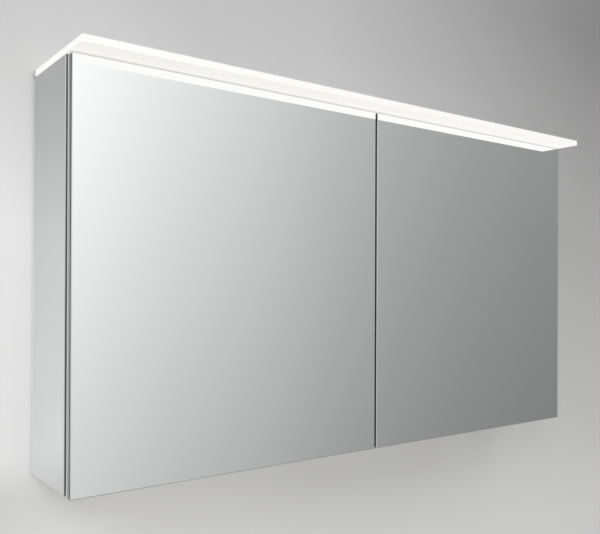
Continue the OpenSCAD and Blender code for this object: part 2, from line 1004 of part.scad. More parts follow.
module terminal_box() {
    color("whitesmoke")
        difference() {
            span(box_x, [back_rear_y, box_y1], box_z);
            span([box_x[0] + box_wall, box_x[1] - box_wall], [back_rear_y + box_wall, box_y1 + 1],
                 [box_z[0] + box_wall, box_z[1] - box_wall]);
            bar_z(gland_x, gland_y, [box_z[0] - 1, box_z[0] + box_wall + 1], gland_bore_r + 1);
        }
}

module terminal_lid() {
    color("white")
        difference() {
            span(box_x, [box_y1, box_y1 + lid_t], box_z);
            for (x = [box_x[0] + 6, box_x[1] - 6])
                bar_y(x, [box_y1 + 1.5, box_y1 + lid_t + 1], (box_z[0] + box_z[1]) / 2, 2.5);
        }
}

// Screwed gland where the supply enters the terminal box from below
module mains_gland() {
    color("dimgray")
        difference() {
            union() {
                bar_z(gland_x, gland_y, [box_z[0] - gland_len, box_z[0] - gland_nut_h], gland_r - 1);
                translate([gland_x, gland_y, box_z[0] - gland_nut_h])
                    cylinder(r = gland_r, h = gland_nut_h, $fn = 6);
                bar_z(gland_x, gland_y, [box_z[0] - 0.5, box_z[0] + box_wall + 2], gland_bore_r + 1 - fit_clear);
            }
            bar_z(gland_x, gland_y, [box_z[0] - gland_len - 1, box_z[0] + box_wall + 3], gland_bore_r);
        }
}

module driver_lead() {
    color("white")
        lead_route([[box_x[1], lead_y, service_z], [driver_x[0], lead_y, service_z]]);
}

module light_lead() {
    color("white")
        lead_route([
            [driver_x[1], lead_y, service_z],
            [light_lead_x, lead_y, service_z],
            [light_lead_x, lead_y, light_lead_top]
        ]);
}

module socket_lead() {
    color("white")
        lead_route([
            [box_x[1], socket_lead_y, socket_lead_z],
            [socket_lead_x, socket_lead_y, socket_lead_z],
            [socket_lead_x, socket_lead_y, socket_entry_z],
            [socket_lead_x, back_face_y - socket_wall - 5, socket_entry_z]
        ]);
}

// Saddle on the back panel round a lead; "x" and "z" name the way the lead runs
module lead_clip(p, way) {
    a = (way == "x") ? clip_half[1] : clip_half[0];
    b = (way == "x") ? clip_half[0] : clip_half[1];
    difference() {
        span([p[0] - a, p[0] + a], [back_rear_y, p[1] + lead_r + clip_wall], [p[2] - b, p[2] + b]);
        if (way == "x")
            bar_x([p[0] - 2 * a, p[0] + 2 * a], p[1], p[2], lead_r + fit_clear);
        else
            bar_z(p[0], p[1], [p[2] - 2 * b, p[2] + 2 * b], lead_r + fit_clear);
    }
}

module lead_clips() {
    color("white") {
        lead_clip([(box_x[1] + driver_x[0]) / 2, lead_y, service_z], "x");
        lead_clip([light_lead_x, lead_y, 0], "z");
        for (k = [1 : 4])
            lead_clip([socket_lead_x, socket_lead_y,
                       socket_lead_z + (socket_entry_z - socket_lead_z) * k / 5], "z");
    }
}

module socket_housing() {
    color("whitesmoke")
        difference() {
            span([socket_x0, socket_x1], [socket_y0 + socket_front_t, back_face_y], [socket_z0, socket_z1]);
            span([socket_x0 + socket_wall, socket_x1 - socket_wall],
                 [socket_y0 + socket_front_t - 1, back_face_y - socket_wall],
                 [socket_z0 + socket_wall, socket_z1 - socket_wall]);
            bar_y(socket_lead_x, [back_face_y - socket_wall - 1, back_face_y + 1], socket_entry_z, entry_r);
        }
}

// Front plate with the round recess and the opening for the rocker
module socket_front() {
    ox = rocker_half[0] + rocker_play[0];
    oz = rocker_half[1] + rocker_play[1];
    color("white")
        difference() {
            union() {
                span([socket_x0, socket_x1], [socket_y0, socket_y0 + socket_front_t], [socket_z0, socket_z1]);
                bar_y(recess_x, [socket_y0, socket_y0 + recess_depth + 2], socket_zc, recess_d / 2 + 2);
            }
            bar_y(recess_x, [socket_y0 - 1, socket_y0 + recess_depth], socket_zc, recess_d / 2);
            for (s = [-1, 1])
                bar_y(recess_x + s * contact_gap / 2, [socket_y0, socket_y0 + recess_depth + 3], socket_zc,
                      contact_r);
            span([rocker_x - ox, rocker_x + ox], [socket_y0 - 1, socket_y0 + socket_front_t + 1],
                 [socket_zc - oz, socket_zc + oz]);
            bar_x([rocker_x - ox - trunnion_out, rocker_x + ox + trunnion_out], rocker_y, socket_zc,
                  trunnion_r + run_clear);
        }
}

// Sleeves behind the two holes of the socket
module socket_contacts() {
    y0 = socket_y0 + recess_depth + 2;
    color("gold")
        for (s = [-1, 1])
            difference() {
                bar_y(recess_x + s * contact_gap / 2, [y0, y0 + contact_len], socket_zc, contact_r + 1);
                bar_y(recess_x + s * contact_gap / 2, [y0 - 1, y0 + contact_len - 1], socket_zc, contact_r);
            }
}

module rocker_switch() {
    color("white")
        translate([rocker_x, rocker_y, socket_zc])
            rotate([rocker_tilt, 0, 0]) {
                difference() {
                    span([-rocker_half[0], rocker_half[0]], [-rocker_depth / 2, rocker_depth / 2],
                         [-rocker_half[1], rocker_half[1]]);
                    bar_x([-rocker_half[0] - 1, rocker_half[0] + 1], rocker_scoop - rocker_depth / 2 - rocker_scoop_r, 0,
                          rocker_scoop_r);
                }
                bar_x([-rocker_half[0] - rocker_play[0] - trunnion_out + 0.5,
                       rocker_half[0] + rocker_play[0] + trunnion_out - 0.5], 0, 0, trunnion_r);
            }
}

left_side_panel();
right_side_panel();
left_side_mirror();
right_side_mirror();
top_panel();
bottom_panel();
bottom_rails();
back_panel();
centre_partition();
left_lower_shelf();
left_upper_shelf();
right_lower_shelf();
right_upper_shelf();
shelf_pins();
carcass_screws();
wall_plates();
hanger_housings();
hanger_hooks();
hinge_plates();
hinge_arms();
arm_pins();
hinge_screws();
light_guide();
canopy_reflector();
light_channel();
led_strip();
led_chips();
canopy_screws();
led_driver();
terminal_box();
terminal_lid();
mains_gland();
driver_lead();
light_lead();
socket_lead();
lead_clips();
socket_housing();
socket_front();
socket_contacts();
rocker_switch();
left_hinge_links();
left_front_mirror();
left_edge_profile();
left_door_board();
left_inner_mirror();
left_hinge_cups();
left_cup_pins();
left_cup_screws();
left_buffers();
right_hinge_links();
right_front_mirror();
right_edge_profile();
right_door_board();
right_inner_mirror();
right_hinge_cups();
right_cup_pins();
right_cup_screws();
right_buffers();
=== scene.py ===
import math

import bmesh
import bpy
from mathutils import Matrix, Vector


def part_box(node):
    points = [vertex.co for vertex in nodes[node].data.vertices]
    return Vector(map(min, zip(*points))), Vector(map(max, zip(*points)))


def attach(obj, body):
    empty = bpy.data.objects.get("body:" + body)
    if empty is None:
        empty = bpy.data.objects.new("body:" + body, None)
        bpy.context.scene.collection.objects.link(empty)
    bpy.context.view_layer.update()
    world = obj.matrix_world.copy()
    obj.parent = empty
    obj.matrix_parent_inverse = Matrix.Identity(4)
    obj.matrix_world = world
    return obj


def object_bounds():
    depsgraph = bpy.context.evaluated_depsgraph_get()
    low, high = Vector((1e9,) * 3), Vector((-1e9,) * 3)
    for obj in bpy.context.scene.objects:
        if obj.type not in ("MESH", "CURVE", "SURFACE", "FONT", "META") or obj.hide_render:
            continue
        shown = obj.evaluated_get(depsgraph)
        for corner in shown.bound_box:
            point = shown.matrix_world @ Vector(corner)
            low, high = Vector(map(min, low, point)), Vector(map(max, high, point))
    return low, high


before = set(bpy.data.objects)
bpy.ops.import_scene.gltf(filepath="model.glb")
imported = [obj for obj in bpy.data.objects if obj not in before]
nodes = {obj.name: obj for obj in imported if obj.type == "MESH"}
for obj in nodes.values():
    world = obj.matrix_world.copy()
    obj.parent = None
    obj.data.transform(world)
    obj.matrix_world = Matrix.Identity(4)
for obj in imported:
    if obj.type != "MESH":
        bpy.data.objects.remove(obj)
cad_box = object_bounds()
scene = bpy.context.scene
scene.view_settings.view_transform = "Standard"
scene.view_settings.look = "None"

MM = 0.001


def mm(*values):
    return tuple(v * MM for v in values)


# ---------------------------------------------------------------- camera

YAW = math.radians(36.02)
PITCH = math.radians(0.14)
ROLL = math.radians(0.23)
CAMERA_PLACE = (-1.0392, -1.2967, -0.3099)
LENS_MM = 43.308
SENSOR_MM = 36
SHIFT = (0.0255, 0.0348)


def place_camera():
    forward = Vector((math.sin(YAW) * math.cos(PITCH), math.cos(YAW) * math.cos(PITCH), math.sin(PITCH)))
    level_right = Vector((math.cos(YAW), -math.sin(YAW), 0))
    level_up = level_right.cross(forward)
    right = math.cos(ROLL) * level_right + math.sin(ROLL) * level_up
    up = math.cos(ROLL) * level_up - math.sin(ROLL) * level_right
    data = bpy.data.cameras.new("camera")
    data.lens = LENS_MM
    data.sensor_width = SENSOR_MM
    data.shift_x, data.shift_y = SHIFT
    data.clip_start = 10 * MM
    camera = bpy.data.objects.new("camera", data)
    scene.collection.objects.link(camera)
    turn = Matrix((right, up, -forward)).transposed().to_4x4()
    camera.matrix_world = Matrix.Translation(CAMERA_PLACE) @ turn
    scene.camera = camera


place_camera()


# ---------------------------------------------------------------- node helpers

def rgba(colour):
    if isinstance(colour, (int, float)):
        colour = (colour, colour, colour)
    return (*colour, 1.0)


def shade(colour, k):
    return tuple(min(1.0, c * k) for c in colour)


class Tree:
    """A material or world node tree with short calls for the nodes used here."""

    def __init__(self, tree):
        self.tree = tree
        tree.nodes.clear()

    def add(self, kind, **values):
        node = self.tree.nodes.new("ShaderNode" + kind)
        for key, value in values.items():
            setattr(node, key, value)
        return node

    def put(self, node, socket, value):
        """Link a socket to another, or set it to a number, a vector or a colour."""
        target = node.inputs[socket]
        if isinstance(value, bpy.types.NodeSocket):
            self.tree.links.new(value, target)
        else:
            target.default_value = value

    def put_colour(self, node, socket, value):
        self.put(node, socket, value if isinstance(value, bpy.types.NodeSocket) else rgba(value))

    def surface(self, shader, output="OutputMaterial"):
        self.put(self.add(output), "Surface", shader.outputs[0])

    def math(self, operation, a, b=0.0, c=0.0):
        node = self.add("Math", operation=operation)
        for i, value in enumerate((a, b, c)):
            self.put(node, i, value)
        return node.outputs[0]

    def mix(self, factor, a, b, blend="MIX"):
        node = self.add("Mix", data_type="RGBA", blend_type=blend)
        self.put(node, 0, factor)
        self.put_colour(node, 6, a)
        self.put_colour(node, 7, b)
        return node.outputs[2]

    def mix_values(self, factor, a, b):
        node = self.add("Mix")
        self.put(node, 0, factor)
        self.put(node, 2, a)
        self.put(node, 3, b)
        return node.outputs[0]

    def mix_shaders(self, factor, a, b):
        node = self.add("MixShader")
        self.put(node, 0, factor)
        self.put(node, 1, a.outputs[0])
        self.put(node, 2, b.outputs[0])
        return node

    def spread(self, value, low, high, start=0.0, end=1.0, kind="LINEAR"):
        """Map start..end of a value to low..high, and hold it there beyond both ends."""
        node = self.add("MapRange", interpolation_type=kind)
        for i, v in enumerate((value, start, end, low, high)):
            self.put(node, i, v)
        return node.outputs[0]

    def coord(self, kind="Object"):
        return self.add("TexCoord").outputs[kind]

    def world_place(self):
        return self.add("NewGeometry").outputs["Position"]

    def split(self, vector):
        node = self.add("SeparateXYZ")
        self.put(node, 0, vector)
        return node.outputs

    def normal(self):
        return self.split(self.coord("Normal"))

    def scaled(self, vector, scale):
        node = self.add("Mapping")
        self.put(node, "Vector", vector)
        self.put(node, "Scale", scale)
        return node.outputs[0]

    def noise(self, vector, scale, detail=3.0, roughness=0.5):
        node = self.add("TexNoise")
        self.put(node, "Vector", vector)
        self.put(node, "Scale", scale)
        self.put(node, "Detail", detail)
        self.put(node, "Roughness", roughness)
        return node.outputs[0]

    def cells(self, vector, scale, randomness=1.0):
        node = self.add("TexVoronoi")
        self.put(node, "Vector", vector)
        self.put(node, "Scale", scale)
        self.put(node, "Randomness", randomness)
        return node.outputs

    def ramp(self, value, stops):
        node = self.add("ValToRGB")
        elements = node.color_ramp.elements
        while len(elements) < len(stops):
            elements.new(1.0)
        for element, (position, colour) in zip(elements, stops):
            element.position = position
            element.color = rgba(colour)
        self.put(node, 0, value)
        return node.outputs[0]

    def bump(self, height, strength, distance):
        node = self.add("Bump")
        self.put(node, "Height", height)
        self.put(node, "Strength", strength)
        self.put(node, "Distance", distance)
        return node.outputs[0]


def blank(name):
    """A new material and its empty node tree."""
    m = bpy.data.materials.new(name)
    m.use_nodes = True
    return m, Tree(m.node_tree)


def material(name):
    """A new material, its tree and its Principled shader, already linked to the output."""
    m, t = blank(name)
    shader = t.add("BsdfPrincipled")
    t.surface(shader)
    return m, t, shader


# ---------------------------------------------------------------- materials

GLASS_IOR = 1.52
ACRYLIC_IOR = 1.49
# Silvering left on the bevels of the mirrors, and the much smaller share on the bevels that face down, which
# is painted shade that keeps the mirrors' bottom bevels dark
BEVEL_SILVER = 0.62
UNDER_BEVEL_SHADE = 0.05
MIRROR_EDGE = (0.085, 0.095, 0.093)
# Glow of the canopy's edges and of its underside
GLOW_EDGE = 0.71
GLOW_UNDER = 0.755
DOT_CELLS = 330
CHIP_PITCH = 20 * MM
# Share of the chip pitch that half a pad takes, and of three pitches that half a cut mark takes
PAD_HALF = 0.075
CUT_HALF = 0.004
PAD_ROW = 1.9 * MM
EDGE_PROFILE_W = 4.5 * MM

guide_lo, guide_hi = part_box("light_guide")
strip_lo, strip_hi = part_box("led_strip")
door_lo, door_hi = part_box("left_front_mirror")
frame_lo, frame_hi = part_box("left_edge_profile")
back_lo, back_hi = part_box("back_panel")
strip_z = (strip_lo.z + strip_hi.z) / 2
frame_mid_z = (frame_lo.z + frame_hi.z) / 2
frame_half = (frame_hi.z - frame_lo.z) / 2 - EDGE_PROFILE_W


def finish(name, colour, spread=0.05, scale=40, rough=(0.35, 0.5), grain=900, bump=0.1, depth=0.1 * MM,
           stretch=(1, 1, 1), **sockets):
    """A surface with slow colour drift, uneven gloss and a fine relief."""
    m, t, shader = material(name)
    place = t.coord()
    drift = t.noise(place, scale)
    fine = t.noise(t.scaled(place, stretch), grain, 2.0)
    t.put(shader, "Base Color", t.mix(drift, shade(colour, 1 - spread), shade(colour, 1 + spread)))
    t.put(shader, "Roughness", t.spread(fine, *rough, 0.3, 0.7))
    t.put(shader, "Normal", t.bump(fine, bump, depth))
    for socket, value in sockets.items():
        shader.inputs[socket.replace("_", " ")].default_value = value
    return m


def wear(name, colour, bright, rough=(0.2, 0.4), scale=120, grain=1500, stretch=(1, 1, 1), relief=0.12):
    """Metal with faint brighter rubbed patches."""
    m, t, shader = material(name)
    place = t.coord()
    patch = t.noise(place, scale, 4.0, 0.6)
    fine = t.noise(t.scaled(place, stretch), grain, 2.0)
    rubbed = t.spread(patch, 0.0, 1.0, 0.45, 0.75)
    gloss = t.math("ADD", fine, t.math("MULTIPLY", rubbed, -0.2))
    t.put(shader, "Base Color", t.mix(rubbed, colour, bright))
    t.put(shader, "Roughness", t.spread(gloss, *rough, 0.2, 0.7))
    t.put(shader, "Normal", t.bump(fine, relief, 0.05 * MM))
    shader.inputs["Metallic"].default_value = 1.0
    return m


def mirror(name, axis, silver):
    """Silvered glass. Faces across the axis reflect; the polished edge and bevel are darker glass, and bevels
    that face down are darker still, painted shade along the bottom edges.
    """
    m, t, shader = material(name)
    place = t.coord()
    normal = t.normal()
    face = t.ramp(t.math("ABSOLUTE", normal[axis]),
                  [(0.0, 0.0), (0.5, 0.0), (0.66, BEVEL_SILVER), (0.85, BEVEL_SILVER), (0.97, 1.0)])
    # Bevels that face down keep almost no silver: painted shade along the mirrors' bottom edges
    face = t.math("MULTIPLY", face, t.spread(normal[2], UNDER_BEVEL_SHADE, 1.0, -0.6, -0.3))
    grind = t.noise(t.scaled(place, (1, 1, 0.05)), 2500, 2.0)
    glass = t.mix(grind, shade(MIRROR_EDGE, 0.8), shade(MIRROR_EDGE, 1.25))
    tint = t.mix(t.noise(place, 3.0, 2.0), shade(silver, 0.985), silver)
    haze = t.spread(t.noise(place, 60, 3.0), 0.012, 0.022, 0.3, 0.7)
    t.put(shader, "Base Color", t.mix(face, glass, tint))
    t.put(shader, "Metallic", face)
    t.put(shader, "Roughness", t.spread(face, t.spread(grind, 0.12, 0.3), haze))
    shader.inputs["IOR"].default_value = GLASS_IOR
    return m


def faces_wall(t, place, beyond_y):
    """1 on faces that look at the wall and lie beyond a depth, and 0 elsewhere."""
    rear = t.math("GREATER_THAN", t.normal()[1], 0.9)
    return t.math("MULTIPLY", rear, t.math("GREATER_THAN", t.split(place)[1], beyond_y))


def laminate(name, raw_y):
    """White laminate; faces that meet the wall show the raw particle board."""
    m, t, shader = material(name)
    place = t.coord()
    fine = t.noise(place, 1400, 3.0)
    white = t.mix(t.noise(place, 9.0, 3.0), (0.80, 0.80, 0.785), (0.845, 0.845, 0.835))
    chips = t.split(t.cells(t.scaled(place, (1, 1, 1.8)), 520)["Color"])[0]
    board = t.ramp(chips, [(0.0, (0.30, 0.21, 0.13)), (0.45, (0.47, 0.35, 0.22)),
                           (0.8, (0.58, 0.46, 0.31)), (1.0, (0.66, 0.55, 0.40))])
    raw = faces_wall(t, place, raw_y)
    rough_chips = t.math("MULTIPLY", t.math("MULTIPLY", chips, raw), 2.0)
    height = t.math("ADD", t.math("MULTIPLY", fine, 0.35), rough_chips)
    t.put(shader, "Base Color", t.mix(raw, white, board))
    t.put(shader, "Roughness", t.spread(raw, t.spread(fine, 0.38, 0.52, 0.3, 0.7), 0.9))
    t.put(shader, "Normal", t.bump(height, 0.18, 0.12 * MM))
    shader.inputs["Specular IOR Level"].default_value = 0.45
    return m


def hardboard(name, raw_y):
    """Back panel: white towards the shelves, plain fibre board towards the wall."""
    m, t, shader = material(name)
    place = t.coord()
    fibre = t.noise(t.scaled(place, (1, 1, 2.5)), 700, 5.0, 0.65)
    blotch = t.noise(place, 14, 4.0)
    board = t.mix(fibre, t.mix(blotch, (0.36, 0.26, 0.17), (0.42, 0.31, 0.21)), (0.55, 0.43, 0.31))
    white = t.mix(blotch, (0.79, 0.79, 0.775), (0.83, 0.83, 0.82))
    raw = faces_wall(t, place, raw_y)
    t.put(shader, "Base Color", t.mix(raw, white, board))
    t.put(shader, "Roughness", t.spread(raw, t.spread(fibre, 0.4, 0.52, 0.3, 0.7), 0.85))
    t.put(shader, "Normal", t.bump(fibre, 0.2, 0.15 * MM))
    return m


def clear_glass(name):
    """Float glass: nearly clear through its faces, green through its long edges."""
    m, t, shader = material(name)
    flat = t.spread(t.math("ABSOLUTE", t.normal()[2]), 0.0, 1.0, 0.6, 0.95)
    streak = t.noise(t.scaled(t.coord(), (0.2, 1, 1)), 90, 3.0)
    edge = t.mix(streak, (0.16, 0.42, 0.34), (0.30, 0.62, 0.52))
    t.put(shader, "Base Color", t.mix(flat, edge, (0.93, 0.985, 0.965)))
    t.put(shader, "Roughness", t.spread(flat, t.spread(streak, 0.08, 0.2), 0.012))
    shader.inputs["Transmission Weight"].default_value = 0.92
    shader.inputs["IOR"].default_value = GLASS_IOR
    return m


def brushed(name, colour, framed=False):
    """Anodised aluminium, brushed along its length, which is upright between the ends of a frame."""
    m, t, shader = material(name)
    place = t.coord()
    lines = t.noise(t.scaled(place, (0.02, 1, 1)), 1600, 3.0, 0.6)
    if framed:
        upright = t.noise(t.scaled(place, (1, 1, 0.02)), 1600, 3.0, 0.6)
        offset = t.math("ABSOLUTE", t.math("SUBTRACT", t.split(place)[2], frame_mid_z))
        lines = t.mix_values(t.math("GREATER_THAN", offset, frame_half), upright, lines)
    base = t.mix(t.noise(place, 20, 3.0), shade(colour, 0.94), shade(colour, 1.04))
    t.put(shader, "Base Color", t.mix(t.spread(lines, 0.0, 0.35, 0.35, 0.75), base, shade(colour, 0.78)))
    t.put(shader, "Roughness", t.spread(lines, 0.22, 0.4, 0.3, 0.7))
    t.put(shader, "Normal", t.bump(lines, 0.1, 0.04 * MM))
    shader.inputs["Metallic"].default_value = 1.0
    return m


def glow_guide(name):
    """Edge-lit acrylic: its ends and edges and its dotted underside glow, the underside more to the rear."""
    m, t, shader = material(name)
    place = t.coord()
    under = t.spread(t.math("MULTIPLY", t.normal()[2], -1.0), 0.0, 1.0, 0.5, 0.9)
    dot = t.spread(t.cells(place, DOT_CELLS, 0.0)["Distance"], 1.0, 0.965, 0.25, 0.45, "SMOOTHSTEP")
    deep = t.spread(t.split(place)[1], 0.0, 1.0, guide_lo.y, guide_hi.y)
    edge_colour = t.ramp(deep, [(0.0, (1.0, 0.985, 0.935)), (0.5, (1.0, 0.98, 0.92)),
                                (1.0, (1.0, 0.965, 0.88))])
    under_colour = t.ramp(deep, [(0.0, (0.80, 0.78, 0.765)), (0.12, (0.80, 0.775, 0.76)),
                                 (0.22, (0.885, 0.845, 0.815)), (1.0, (0.95, 0.92, 0.88))])
    glow = t.mix(under, edge_colour, under_colour)
    bands = t.spread(t.noise(t.scaled(place, (1, 0.1, 0.1)), 6.0, 2.0), 0.0, 1.0, 0.3, 0.7)
    t.put(shader, "Emission Color", t.mix(bands, t.mix(1.0, glow, 0.985, "MULTIPLY"), glow))
    t.put(shader, "Emission Strength", t.math("MULTIPLY", dot, t.spread(under, GLOW_EDGE, GLOW_UNDER)))
    t.put(shader, "Base Color", t.mix(dot, (0.20, 0.20, 0.20), (0.26, 0.26, 0.255)))
    t.put(shader, "Roughness", t.spread(dot, 0.35, 0.16, 0.965, 1.0))
    shader.inputs["IOR"].default_value = ACRYLIC_IOR
    return m


def led_board(name):
    """White solder mask with paired copper pads and a dark cut mark every third chip."""
    m, t, shader = material(name)
    place = t.coord()
    x, _, z = t.split(place)
    along = t.math("SUBTRACT", x, strip_lo.x)

    def near_middle(pitch, half):
        part = t.math("FRACT", t.math("DIVIDE", along, pitch))
        return t.math("LESS_THAN", t.math("ABSOLUTE", t.math("SUBTRACT", part, 0.5)), half)

    rows = t.math("GREATER_THAN", t.math("ABSOLUTE", t.math("SUBTRACT", z, strip_z)), PAD_ROW)
    pad = t.math("MULTIPLY", near_middle(CHIP_PITCH, PAD_HALF), rows)
    speck = t.noise(place, 900, 2.0)
    mask = t.mix(speck, (0.80, 0.80, 0.77), (0.87, 0.87, 0.85))
    tone = t.mix(pad, mask, (0.78, 0.42, 0.20))
    t.put(shader, "Base Color", t.mix(near_middle(3 * CHIP_PITCH, CUT_HALF), tone, (0.12, 0.12, 0.12)))
    t.put(shader, "Metallic", pad)
    t.put(shader, "Roughness", t.spread(speck, 0.3, 0.45))
    return m


def phosphor(name):
    """Yellow phosphor window, lit."""
    m, t, shader = material(name)
    speck = t.noise(t.coord(), 2500, 3.0)
    t.put(shader, "Base Color", t.mix(speck, (0.95, 0.72, 0.22), (1.0, 0.82, 0.35)))
    t.put(shader, "Emission Color", t.mix(speck, (1.0, 0.90, 0.70), (1.0, 0.95, 0.80)))
    t.put(shader, "Roughness", t.spread(speck, 0.3, 0.5))
    shader.inputs["Emission Strength"].default_value = 3.0
    return m


SCREW_ZINC = wear("screw_zinc", (0.60, 0.585, 0.54), (0.72, 0.70, 0.65), rough=(0.22, 0.36), scale=200,
                  relief=0.06)
STEEL_PIN = wear("steel_pin", (0.52, 0.52, 0.53), (0.68, 0.68, 0.70), rough=(0.15, 0.3), grain=2500,
                 stretch=(1, 1, 0.1))
BRASS = wear("brass", (0.62, 0.42, 0.16), (0.80, 0.62, 0.32), rough=(0.2, 0.38))
PLUG_PLASTIC = finish("plug_plastic", (0.46, 0.465, 0.47), 0.05, 60, (0.4, 0.55), 1300, 0.2)
DARK_PLASTIC = finish("dark_plastic", (0.075, 0.078, 0.085), 0.12, 80, (0.35, 0.55), 1500, 0.25)
LID_PLASTIC = finish("lid_plastic", (0.72, 0.725, 0.725), 0.04, 40, (0.38, 0.52), 1000, 0.25)
DRIVER_CASE = finish("driver_case", (0.77, 0.775, 0.77), 0.03, 35, (0.34, 0.5), 1200, 0.25)
RUBBER = finish("rubber", (0.045, 0.045, 0.047), 0.15, 120, (0.6, 0.8), 1800, 0.3)
CERAMIC = finish("chip_resistor", (0.03, 0.03, 0.032), 0.2, 900, (0.3, 0.5), 3000, 0.1)

PAINT = {
    laminate("white_laminate", -1 * MM):
        "left_side_panel right_side_panel top_panel bottom_panel bottom_rails centre_partition",
    hardboard("back_board", back_hi.y - 1 * MM): "back_panel",
    mirror("mirror_front", 1, (0.925, 0.935, 0.935)):
        "left_front_mirror right_front_mirror left_inner_mirror right_inner_mirror",
    mirror("mirror_side", 0, (0.90, 0.915, 0.915)): "left_side_mirror right_side_mirror",
    clear_glass("shelf_glass"): "left_lower_shelf left_upper_shelf right_lower_shelf right_upper_shelf",
    wear("nickel", (0.66, 0.645, 0.62), (0.73, 0.715, 0.69), rough=(0.17, 0.27), scale=70, relief=0.04):
        "shelf_pins hinge_arms left_hinge_links right_hinge_links hinge_plates canopy_screws",
    wear("nickel_cup", (0.64, 0.625, 0.605), (0.70, 0.685, 0.665), rough=(0.3, 0.38), scale=60, grain=700,
         relief=0.01): "left_hinge_cups right_hinge_cups",
    STEEL_PIN: "arm_pins left_cup_pins right_cup_pins",
    wear("zinc", (0.50, 0.52, 0.55), (0.66, 0.68, 0.70), rough=(0.3, 0.55), scale=60, grain=500):
        "wall_plates hanger_hooks",
    SCREW_ZINC: "carcass_screws hinge_screws left_cup_screws right_cup_screws",
    finish("grey_plastic", (0.20, 0.205, 0.215), 0.08, 60, (0.42, 0.6), 1300, 0.25): "hanger_housings",
    DARK_PLASTIC: "mains_gland",
    brushed("anodised_frame", (0.50, 0.505, 0.51), framed=True): "left_edge_profile right_edge_profile",
    brushed("anodised_channel", (0.56, 0.565, 0.575)): "light_channel",
    glow_guide("acrylic_guide"): "light_guide",
    finish("reflector_film", (0.80, 0.805, 0.81), 0.03, 6, (0.18, 0.32), 700, 0.08, Coat_Weight=0.3):
        "canopy_reflector",
    led_board("led_board"): "led_strip",
    phosphor("led_phosphor"): "led_chips",
    finish("white_plastic", (0.80, 0.80, 0.785), 0.025, 30, (0.3, 0.42), 1100, 0.15):
        "socket_housing lead_clips",
    finish("socket_plastic", (0.86, 0.86, 0.85), 0.015, 25, (0.16, 0.24), 900, 0.04, Coat_Weight=0.4):
        "socket_front",
    finish("box_plastic", (0.66, 0.665, 0.665), 0.04, 40, (0.42, 0.58), 900, 0.3, 0.15 * MM): "terminal_box",
    LID_PLASTIC: "terminal_lid",
    DRIVER_CASE: "led_driver",
    finish("rocker_plastic", (0.84, 0.84, 0.83), 0.02, 50, (0.14, 0.22), 600, 0.05, Coat_Weight=0.3):
        "rocker_switch",
    finish("lead_sheath", (0.77, 0.77, 0.755), 0.04, 70, (0.42, 0.56), 700, 0.2, stretch=(0.3, 1, 0.3)):
        "driver_lead light_lead socket_lead",
    BRASS: "socket_contacts",
    finish("door_board", (0.56, 0.47, 0.36), 0.12, 300, (0.75, 0.92), 900, 0.4, 0.2 * MM):
        "left_door_board right_door_board",
    finish("clear_buffer", (0.86, 0.87, 0.86), 0.03, 200, (0.2, 0.35), 900, 0.1, Transmission_Weight=0.7,
           IOR=1.45): "left_buffers right_buffers",
}
for paint, names in PAINT.items():
    for name in names.split():
        nodes[name].data.materials.clear()
        nodes[name].data.materials.append(paint)

# ---------------------------------------------------------------- stage

WALL_Y = 0.6 * MM
STAGE_X = (-3.5, 4.5)
STAGE_Y = (-3.0, 2.5)
FLOOR_Z = -1.9
WALL_TOP_Z = 2.0
# The opening in the wall stays this far inside the cabinet's outline
HOLE_INSET = 4 * MM

# Painted light and shade on the wall, standing in for the fall-off of the studio light, with lighter zones
# round the cabinet and its painted shadow below it: (height, [(place along the wall, tone), ...])
WALL_SPAN = (-1.0, 1.4)
WALL_PAINTED_LIGHT = [
    (-1.0, [(-0.95, 0.60), (-0.7, 0.60), (0.0, 0.63), (0.9, 0.60), (1.2, 0.58)]),
    (-0.75, [(-0.95, 0.60), (-0.7, 0.61), (-0.53, 0.745), (-0.3, 0.705), (0.0, 0.62), (0.3, 0.58),
             (0.66, 0.60), (1.1, 0.51)]),
    (-0.68, [(-0.95, 0.60), (-0.7, 0.58), (-0.5, 0.71), (0.0, 0.645), (0.5, 0.59), (1.1, 0.495)]),
    (-0.6, [(-0.95, 0.61), (-0.7, 0.71), (-0.5, 0.72), (0.0, 0.66), (0.5, 0.58), (1.1, 0.48)]),
    (-0.2, [(-0.95, 0.62), (-0.7, 0.745), (-0.5, 0.72), (0.0, 0.62), (0.5, 0.52), (1.1, 0.41)]),
    (0.15, [(-0.95, 0.56), (-0.7, 0.535), (-0.53, 0.545), (-0.31, 0.505), (0.0, 0.51), (0.3, 0.455),
            (0.66, 0.40), (1.1, 0.345)]),
    (0.5, [(-0.95, 0.50), (-0.7, 0.46), (-0.3, 0.465), (0.0, 0.455), (0.3, 0.395), (0.66, 0.33),
           (1.1, 0.26)]),
]

# Density of the black net beside the cabinet, at its bottom and top; it only shows in reflections, where it
# paints shade on the wall that the side mirror shows, darker towards the top
FLAG_SHADE_DENSITY = (0.02, 0.30)
FLAG_X = (-0.82, -0.652)
FLAG_Z = (-0.75, 0.4)
FLAG_Y = -4 * MM
# Brightness of the sheet that paints the canopy's reflection into the door mirrors, and how far below the
# guide it hangs
REFLECTION_GLOW_STRENGTH = 1.06
REFLECTION_CARD_DROP = 0.3 * MM


def stage_mesh(name, points, faces, paint):
    mesh = bpy.data.meshes.new(name)
    mesh.from_pydata(points, [], faces)
    mesh.materials.append(paint)
    obj = bpy.data.objects.new(name, mesh)
    scene.collection.objects.link(obj)
    return obj


